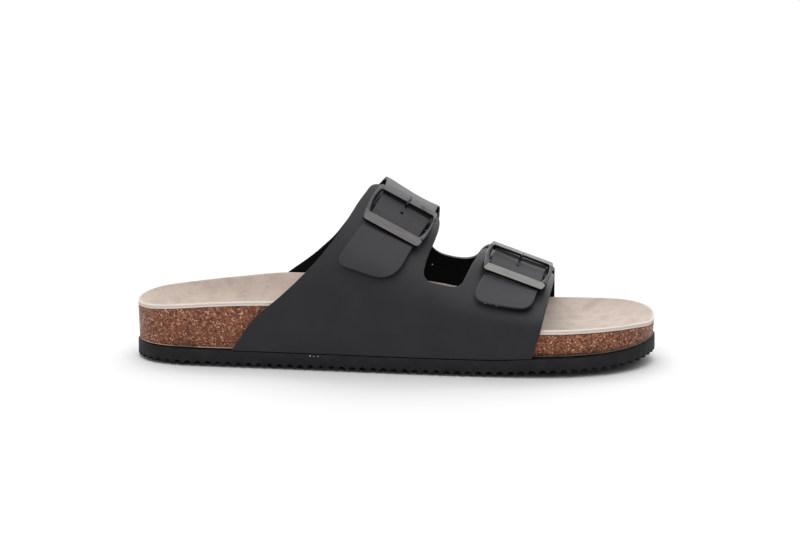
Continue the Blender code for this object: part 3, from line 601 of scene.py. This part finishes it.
CREASE_ROUGH = 0.9
BUCKLE_HALF = 16.7 * MM
PRESSED_HALF = 15.3 * MM
PRESS_LAYER = 8 * MM
PRESS_FACING = 0.3
# Each bar's middle and half width down the strap from the rod, and how deep it presses. Shade is painted in
# a band round each middle.
PRESSES = {"rear": ((-8.3 * MM, 2.4 * MM, 1.1 * MM), (13.2 * MM, 1.3 * MM, 0.0)),
           "front": ((-9.0 * MM, 2.7 * MM, 0.6 * MM), (13.2 * MM, 1.3 * MM, 0.0))}
CREASE_FLAT = 0.75
# Where a tip's lift starts and ends, its rise there, and by how much it is longer, drooped and wider.
TIPS = {"rear": (15 * MM, 31 * MM, 1.6 * MM, 2.0 * MM, 1.8 * MM, 0.20, 0.045),
        "front": (14 * MM, 27 * MM, 1.6 * MM, 2.5 * MM, 3.4 * MM, 0.35, 0.085)}
TIP_ROOT = (12.4 * MM, 15 * MM)
STRAP_REACH = 24 * MM
STRAP_LAYER = 10 * MM
ROLL_WIDTH = 13 * MM
ROLL_DEPTH = 1.3 * MM
ROLL_FOOT = (36 * MM, 48 * MM)
ROLL_HEAD = (64 * MM, 80 * MM)
ROLL_LEVELS = 30
ROLL_BAND = 2 * MM
# The side of the rear tab, and how much fuller it is along the side and at the end.
TAB_SWELLS = ((-1, 0.25 * MM, 1.0 * MM), (1, 0.35 * MM, 0.55 * MM))
TAB_REACH = 27 * MM
TAB_SIDE = (14 * MM, 20 * MM)
TAB_END = (5 * MM, 14 * MM)
TAB_ROOT = (2 * MM, 13 * MM)
CREST_U = np.array((-17.0, -10.0, -3.0, 3.0, 6.0, 9.0, 12.0, 18.0)) * MM
CREST_RISE = np.array((0.0, -0.45, -0.65, -0.35, -0.1, 0.3, 0.9, 1.2)) * MM
CREST_START = (14 * MM, 24 * MM)
CREST_END = (25 * MM, 45 * MM)
CREST_CORNER = (8 * MM, 17 * MM)
CREST_NARROW = (0.6 * MM, 0.5 * MM)
NOTCH_CORNER = Vector((16.8, -41.3, 48.6)) * MM
NOTCH_REACH = 7 * MM
NOTCH_SMOOTHING = 20
NOTCH_SOFTNESS = 0.5
NOTCH_FOLDS = (((16.7, -41.8, 47.3), (17.3, -41.2, 48.9)), ((16.7, -40.1, 46.6), (17.3, -39.4, 48.2)))
STRAP_HOLES = {"rear": ((-0.4, -15.1), (-0.35, -11.15), (0.0, -6.25), (0.0, -1.05)),
               "front": ((0.4, -14.9), (0.2, -11.0), (0.0, -6.1), (0.0, -1.0))}
HOLE_TIGHT = 0.70
HOLE_REACH = (1.5 * MM, 3.0 * MM)
TAB_SHADE = (-9.0 * MM, 13.0 * MM)
SHADE_FADE = 1.5 * MM


def coated_leather(name, dark, light, gloss):
    """Leather under a thin coat of colour, with a fine grain, slightly uneven gloss, and painted shade near
    black where the straps are creased or covered.
    """
    material, tree, shader = new_material(name, LEATHER_ROUGH, **{"Specular IOR Level": gloss})
    patches, specks = add_mottle(tree, *LEATHER_GRAIN)
    painted_shade = put_node(tree, "ShaderNodeAttribute", attribute_name="painted_shade").outputs["Fac"]
    colour = blend_colours(tree, ramp(tree, patches, *LEATHER_PATCHES), dark, light)
    # Painted shade: the colour goes near black in the creases under the bars and on the tabs under the
    # frames.
    tree.links.new(blend_colours(tree, painted_shade, colour, SHADE_AND_TARNISH_BLACK), shader.inputs["Base Color"])
    low, high = LEATHER_PATCHES
    sleek, dull = LEATHER_ROUGH_ENDS
    rough = put_node(tree, "ShaderNodeMapRange", {"Value": patches, "From Min": low, "From Max": high,
                                                  "To Min": sleek, "To Max": dull})
    rough = put_node(tree, "ShaderNodeMix", {0: painted_shade, 2: rough.outputs["Result"], 3: CREASE_ROUGH})
    tree.links.new(rough.outputs[0], shader.inputs["Roughness"])
    add_bump(tree, shader, specks, *LEATHER_RELIEF)
    return material


leather = coated_leather("coated leather", LEATHER_BLACK, LEATHER_GREY, LEATHER_GLOSS)
# Painted light: a lighter copy of the coated leather for the inner quarter and its straps.
lit_strap_leather = coated_leather("strap leather, painted lighter", LIT_STRAP_BLACK, LIT_STRAP_GREY, STRAP_GLOSS)

felt, tree, shader = new_material("black felt back", FELT_ROUGH, **{"Specular IOR Level": FELT_GLOSS})
patches, specks = add_mottle(tree, *FELT_GRAIN)
colour = blend_colours(tree, specks, FELT_BLACK, FELT_GREY)
tree.links.new(add_crumbs(tree, colour, LINT_WHITE, LINT_SPOTS), shader.inputs["Base Color"])
add_bump(tree, shader, specks, *FELT_RELIEF)

cut_edge, tree, shader = new_material("black cut edge", CUT_EDGE_ROUGH,
                                      **{"Specular IOR Level": CUT_EDGE_GLOSS})
patches, specks = add_mottle(tree, *CUT_EDGE_GRAIN)
colour = blend_colours(tree, ramp(tree, specks, *CUT_EDGE_SPECKS), CUT_EDGE_BLACK, CUT_EDGE_GREY)
tree.links.new(add_crumbs(tree, colour, LINT_WHITE, FIBRE_SPOTS), shader.inputs["Base Color"])
add_bump(tree, shader, specks, *CUT_EDGE_RELIEF)


def buckle_places(place_name, shape):
    """Each of a shape's points along a buckle's bars, down its strap from the rod and out, and the axes."""
    rod = np.array([v.co for v in frame["nodes"][place_name + "_rod"].data.vertices])
    middle = rod.mean(axis=0)
    bar = rod[rod[:, 0] > middle[0]].mean(axis=0) - rod[rod[:, 0] < middle[0]].mean(axis=0)
    bar /= np.linalg.norm(bar)
    outward = Vector((0.0, middle[1], middle[2] - FOOT_AXIS_HEIGHT)).normalized()
    out = np.zeros(3)
    for face in frame["nodes"][place_name + "_buckle"].data.polygons:
        if face.normal.dot(outward) > FRONT_FACING:
            out += face.area * np.array(face.normal)
    out -= bar * np.dot(out, bar)
    out /= np.linalg.norm(out)
    down = np.cross(bar, out)
    points = np.array([v.co for v in shape.data.vertices])
    return (points - middle) @ np.column_stack([bar, down, out]), (bar, down, out)


def close_folds(quarter):
    """Merges the points between which the mesh folds at the notch's rear lower corner, on each side."""
    for fold in NOTCH_FOLDS:
        bpy.ops.object.mode_set(mode="EDIT")
        bpy.ops.mesh.select_mode(type="VERT")
        bpy.ops.mesh.select_all(action="DESELECT")
        bpy.ops.object.mode_set(mode="OBJECT")
        for end in fold:
            place = Vector(end) * MM
            nearest = min(quarter.data.vertices, key=lambda point: (point.co - place).length)
            nearest.select = True
        bpy.ops.object.mode_set(mode="EDIT")
        bpy.ops.mesh.merge(type="CENTER")
        bpy.ops.object.mode_set(mode="OBJECT")


def tighten_holes(quarter):
    """Draws the punched holes of the straps closer, as holes in soft leather close."""
    for place_name, holes in STRAP_HOLES.items():
        places, (bar, down, out) = buckle_places(place_name, quarter)
        for u, v in holes:
            across, along = places[:, 0] - u * MM, places[:, 1] - v * MM
            share = 1 - smooth_share(np.hypot(across, along), *HOLE_REACH)
            share = share * (abs(places[:, 2]) < STRAP_LAYER) * (1 - HOLE_TIGHT)
            for i in np.flatnonzero(share):
                quarter.data.vertices[i].co -= Vector((bar * across[i] + down * along[i]) * share[i])
    quarter.data.update()


def raise_tips(quarter):
    """Lifts the strap tips off the quarter below the buckles, and draws them a little longer and wider."""
    for place_name, (start, end, raised, lifted, longer, droop, wider) in TIPS.items():
        places, (bar, down, out) = buckle_places(place_name, quarter)
        on_strap = (abs(places[:, 0]) < STRAP_REACH) & (abs(places[:, 2]) < STRAP_LAYER)
        tip = on_strap & (places[:, 1] > TIP_ROOT[0])
        share = smooth_share(places[:, 1], start, end)
        rise = raised * smooth_share(places[:, 1], *TIP_ROOT) + (lifted - raised) * share
        for i in np.flatnonzero(tip):
            grow = (down - out * droop) * longer + bar * wider * places[i, 0]
            quarter.data.vertices[i].co += Vector(out * rise[i] + grow * share[i])
    quarter.data.update()


def roll_rear_edge(quarter):
    """Turns the rear edge of the quarter in towards the foot, as soft leather curls."""
    points = np.array([v.co for v in quarter.data.vertices])
    heights = np.linspace(ROLL_FOOT[0], points[:, 2].max(), ROLL_LEVELS)
    edge = [points[abs(points[:, 2] - height) < ROLL_BAND, 0].min() for height in heights]
    from_edge = points[:, 0] - np.interp(points[:, 2], heights, edge)
    amount = ROLL_DEPTH * (1 - np.clip(from_edge / ROLL_WIDTH, 0.0, 1.0)) ** 2
    amount = amount * smooth_share(points[:, 2], *ROLL_FOOT) * (1 - smooth_share(points[:, 2], *ROLL_HEAD))
    for point, inward in zip(quarter.data.vertices, amount):
        outward = point.co - Vector((point.co.x, 0.0, FOOT_AXIS_HEIGHT))
        point.co -= outward.normalized() * inward
    quarter.data.update()


def swell_rear_tab(quarter):
    """Makes the sides of the rear tab a little fuller, more so towards its end."""
    places, (bar, down, out) = buckle_places("rear", quarter)
    on_tab = (1 - smooth_share(places[:, 1], *TAB_ROOT)) * (abs(places[:, 0]) < TAB_REACH)
    for side, along, at_end in TAB_SWELLS:
        swell = along + (at_end - along) * smooth_share(-places[:, 1], *TAB_END)
        swell = swell * smooth_share(side * places[:, 0], *TAB_SIDE) * on_tab
        for point, amount in zip(quarter.data.vertices, swell):
            point.co += Vector(bar * side * amount)
    quarter.data.update()


def shape_crest(quarter):
    """Lets the rear strap sag a little where it turns over the instep, and draws its edges in."""
    places, (bar, down, out) = buckle_places("rear", quarter)
    share = smooth_share(-places[:, 1], *CREST_START) * (1 - smooth_share(-places[:, 2], *CREST_END))
    share = share * (abs(places[:, 0]) < STRAP_REACH)
    rise = share * np.interp(places[:, 0], CREST_U, CREST_RISE)
    narrow = CREST_NARROW[0] * smooth_share(-places[:, 0], *CREST_CORNER)
    narrow = share * (narrow - CREST_NARROW[1] * smooth_share(places[:, 0], *CREST_CORNER))
    for point, upward, forward in zip(quarter.data.vertices, rise, narrow):
        point.co += Vector(bar * forward)
        point.co.z += upward
    quarter.data.update()


def press_straps(quarter):
    """Presses the straps in under the buckles' bars, and paints shade into the creases and onto what the
    frames cover.
    """
    painted_shade = np.zeros(len(quarter.data.vertices))
    for place_name in ("rear", "front"):
        places, (bar, down, out) = buckle_places(place_name, quarter)
        facing = np.array([v.normal for v in quarter.data.vertices]) @ out
        across = 1 - smooth_share(abs(places[:, 0]), PRESSED_HALF, BUCKLE_HALF)
        near = across * (abs(places[:, 2]) < PRESS_LAYER) * (facing > PRESS_FACING)
        if quarter.name == "inner_quarter_leather":
            for middle, half, depth in PRESSES[place_name]:
                from_middle = abs(places[:, 1] - middle)
                share = near * (1 - smooth_share(from_middle, 0.0, half))
                for point, amount in zip(quarter.data.vertices, share * depth):
                    point.co -= Vector(out * amount)
                # Painted shade in the crease under each bar.
                crease_shade = near * (1 - smooth_share(from_middle, CREASE_FLAT * half, half))
                painted_shade = np.maximum(painted_shade, crease_shade)
        else:
            # Painted shade on the tab where the frame covers it.
            start, end = TAB_SHADE
            covered = smooth_share(places[:, 1], start, start + SHADE_FADE)
            covered = covered * (1 - smooth_share(places[:, 1], end - SHADE_FADE, end))
            painted_shade = np.maximum(painted_shade, near * covered)
    give_values(quarter, "painted_shade", painted_shade)


def dress_quarter(node, piece, grain):
    """A quarter with its grain side, felt side and cut edges, its edges rounded and its surface smooth."""
    quarter = copy_of_node(node, piece)
    for material in (grain, felt, cut_edge):
        quarter.data.materials.append(material)
    if node == "outer_quarter":
        close_folds(quarter)
    for face in quarter.data.polygons:
        outward = face.center - Vector((face.center.x, 0.0, FOOT_AXIS_HEIGHT))
        facing = face.normal.dot(outward.normalized())
        face.material_index = 0 if facing > FACING_LIMIT else 1 if facing < -FACING_LIMIT else 2
    round_sharp_edges(quarter, LEATHER_EDGE_ROUND, clamped=False)
    smooth_with_edges(quarter, math.pi, 0.0)
    select_faces(quarter, lambda face: face.material_index == 0
                 and (face.center - NOTCH_CORNER).length < NOTCH_REACH)
    bpy.ops.mesh.select_less()
    bpy.ops.mesh.vertices_smooth(factor=NOTCH_SOFTNESS, repeat=NOTCH_SMOOTHING)
    bpy.ops.object.mode_set(mode="OBJECT")
    if node == "inner_quarter":
        tighten_holes(quarter)
        raise_tips(quarter)
        shape_crest(quarter)
    else:
        roll_rear_edge(quarter)
        swell_rear_tab(quarter)
    press_straps(quarter)
    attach(quarter, "root")
    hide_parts(node)


dress_quarter("outer_quarter", "outer_quarter_leather", leather)
dress_quarter("inner_quarter", "inner_quarter_leather", lit_strap_leather)

# Buckles. Each is a flat stamped frame of gunmetal with a thin bar above and a broad brushed bar below.
# A rod between its sides lies under the strap, and a prong from it comes up through the strap's hole.
# Both buckles are the same metal. The rear one's bars and prong are painted darker and the front one's
# lighter, standing in for the light each catches.
BRUSHED_PAINTED_LIGHT = {"rear": ((0.060, 0.058, 0.058, 1.0), (0.092, 0.088, 0.089, 1.0)),
           "front": ((0.118, 0.114, 0.112, 1.0), (0.176, 0.170, 0.167, 1.0))}
# Dark metal of the rails, also used as painted shade on the bars' faces turned away from the light.
RAIL_AND_SHADE_BLACK = (0.060, 0.059, 0.061, 1.0)
# The rod is painted near black as shade, for the shadow it lies in under the strap.
ROD_SHADE_BLACK = (0.016, 0.016, 0.017, 1.0)
THIN_BAR_PAINTED_LIGHT = {"rear": (0.084, 0.083, 0.085, 1.0), "front": (0.180, 0.179, 0.181, 1.0)}
THIN_BAR_END = -6.9 * MM
THIN_BAR_FACING = 0.35
BROAD_BAR_START = 8.6 * MM
BROAD_BAR_OVERLAP = 0.6 * MM
BROAD_BAR_ROUND = 0.18 * MM
RAIL_ROUND = 0.62 * MM
RAIL_SEGMENTS = 4
THIN_BAR_CORNER = (12.5 * MM, -6.5 * MM)
CORNER_REACH = 3.5 * MM
CORNER_SQUARE = 0.7 * MM
PRONG_TIP_START = -7.0 * MM
PRONG_TIP_LOW = 5.6 * MM
PRONG_FLAT = 0.45
STREAK_SCALE = (1 / (14 * MM), 1 / (0.30 * MM), 1 / (0.30 * MM))
STREAK_FADE = (0.3, 0.7)
BRUSHED_ROUGH = 0.36
BRUSHED_ROUGH_ENDS = (0.24, 0.42)
BRUSHED_RELIEF = (0.2, 0.04 * MM)
POLISH_ROUGH = 0.17
POLISH_GRAIN = (5 * MM, 0.5 * MM)
POLISH_PATCHES = (0.45, 0.95)


def brushed_metal(name, along, dark, light):
    """Gunmetal with brush streaks that run along a direction."""
    material, tree, shader = new_material(name, BRUSHED_ROUGH, Metallic=1.0)
    turn = along.to_track_quat("X", "Z").to_matrix().inverted().to_euler()
    place = tree.nodes.new("ShaderNodeTexCoord").outputs["Object"]
    place = put_node(tree, "ShaderNodeMapping", {"Vector": place, "Rotation": turn}).outputs["Vector"]
    place = put_node(tree, "ShaderNodeMapping", {"Vector": place, "Scale": STREAK_SCALE}).outputs["Vector"]
    noise = put_node(tree, "ShaderNodeTexNoise", {"Vector": place, "Scale": 1.0, "Detail": 3.0})
    streaks = noise.outputs["Fac"]
    colour = blend_colours(tree, ramp(tree, streaks, *STREAK_FADE), dark, light)
    tree.links.new(colour, shader.inputs["Base Color"])
    sleek, dull = BRUSHED_ROUGH_ENDS
    rough = put_node(tree, "ShaderNodeMapRange", {"Value": streaks, "To Min": sleek, "To Max": dull})
    tree.links.new(rough.outputs["Result"], shader.inputs["Roughness"])
    add_bump(tree, shader, streaks, *BRUSHED_RELIEF)
    return material


def polished_metal(name, colour):
    """Gunmetal with a smooth dark polish that is a little uneven."""
    material, tree, shader = new_material(name, POLISH_ROUGH, Metallic=1.0)
    patches, specks = add_mottle(tree, *POLISH_GRAIN)
    uneven = blend_colours(tree, ramp(tree, patches, *POLISH_PATCHES), colour, SHADE_AND_TARNISH_BLACK)
    tree.links.new(uneven, shader.inputs["Base Color"])
    return material


def round_part(shape, wanted, width, segments):
    """Rounds the sharp edges of the part of a piece that the test picks."""
    select_sharp_edges(shape, SHARP_EDGE)
    bpy.ops.object.mode_set(mode="OBJECT")
    for edge in shape.data.edges:
        edge.select = edge.select and all(wanted[i] for i in edge.vertices)
    bpy.ops.object.mode_set(mode="EDIT")
    bpy.ops.mesh.bevel(offset=width, segments=segments, affect="EDGES", clamp_overlap=True)
    bpy.ops.object.mode_set(mode="OBJECT")


def finish_frame(shape, place_name):
    """A frame with squarer top corners, rounded rails and thin bar, a crisp brushed broad bar, and painted
    shade on the bars' lower and side faces.
    """
    places, (bar, down, out) = buckle_places(place_name, shape)
    start_u, start_v = THIN_BAR_CORNER
    share = smooth_share(abs(places[:, 0]), start_u, start_u + CORNER_REACH)
    share = share * smooth_share(-places[:, 1], -start_v, -start_v + CORNER_REACH)
    for point, side, amount in zip(shape.data.vertices, np.sign(places[:, 0]), share * CORNER_SQUARE):
        point.co += Vector((side * bar - down + out) * amount)
    above_broad = buckle_places(place_name, shape)[0][:, 1] < BROAD_BAR_START
    round_part(shape, above_broad, RAIL_ROUND, RAIL_SEGMENTS)
    on_broad_bar = buckle_places(place_name, shape)[0][:, 1] >= BROAD_BAR_START
    round_part(shape, on_broad_bar, BROAD_BAR_ROUND, EDGE_SEGMENTS)
    places = buckle_places(place_name, shape)[0]
    # Painted shade: the thin bar's faces turned down the strap and the broad bar's edges and sides take the
    # dark rail metal.
    for face in shape.data.polygons:
        reach = [places[i, 1] for i in face.vertices]
        on_broad = min(reach) > BROAD_BAR_START - BROAD_BAR_OVERLAP
        on_front = face.normal.dot(Vector(out)) > FRONT_FACING
        on_thin = max(reach) < THIN_BAR_END and face.normal.dot(Vector(down)) < THIN_BAR_FACING
        face.material_index = 0 if on_broad and on_front else 2 if on_thin else 1


for place_name in ("rear", "front"):
    corners = [v.co for v in frame["nodes"][place_name + "_rod"].data.vertices]
    bar_line = (max(corners, key=lambda c: c.x) - min(corners, key=lambda c: c.x)).normalized()
    broad_metal = brushed_metal(place_name + " brushed gunmetal", bar_line, *BRUSHED_PAINTED_LIGHT[place_name])
    rail_and_shaded_face_metal = polished_metal(place_name + " dark gunmetal", RAIL_AND_SHADE_BLACK)
    shade_painted_rod_metal = polished_metal(place_name + " shade-painted gunmetal", ROD_SHADE_BLACK)
    thin_metal = polished_metal(place_name + " polished gunmetal", THIN_BAR_PAINTED_LIGHT[place_name])
    for node, piece, metals in (("_buckle", "_buckle_frame", (broad_metal, rail_and_shaded_face_metal, thin_metal)),
                                ("_rod", "_buckle_rod", (shade_painted_rod_metal,)),
                                ("_prong", "_buckle_prong", (thin_metal,))):
        shape = copy_of_node(place_name + node, place_name + piece)
        for metal in metals:
            shape.data.materials.append(metal)
        if node == "_buckle":
            finish_frame(shape, place_name)
        if node == "_prong":
            places, (bar, down, out) = buckle_places(place_name, shape)
            for point, (u, v, n) in zip(shape.data.vertices, places):
                if v < PRONG_TIP_START and n > PRONG_TIP_LOW:
                    point.co -= Vector(out * (n - PRONG_TIP_LOW) * (1 - PRONG_FLAT))
        shape.data.shade_smooth()
        bpy.ops.object.shade_smooth_by_angle(angle=SMOOTH_ANGLE)
        if node == "_buckle":
            flats = shape.modifiers.new("flats", "WEIGHTED_NORMAL")
            flats.keep_sharp = True
            bpy.ops.object.modifier_apply(modifier=flats.name)
        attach(shape, "root")
        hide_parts(place_name + node)
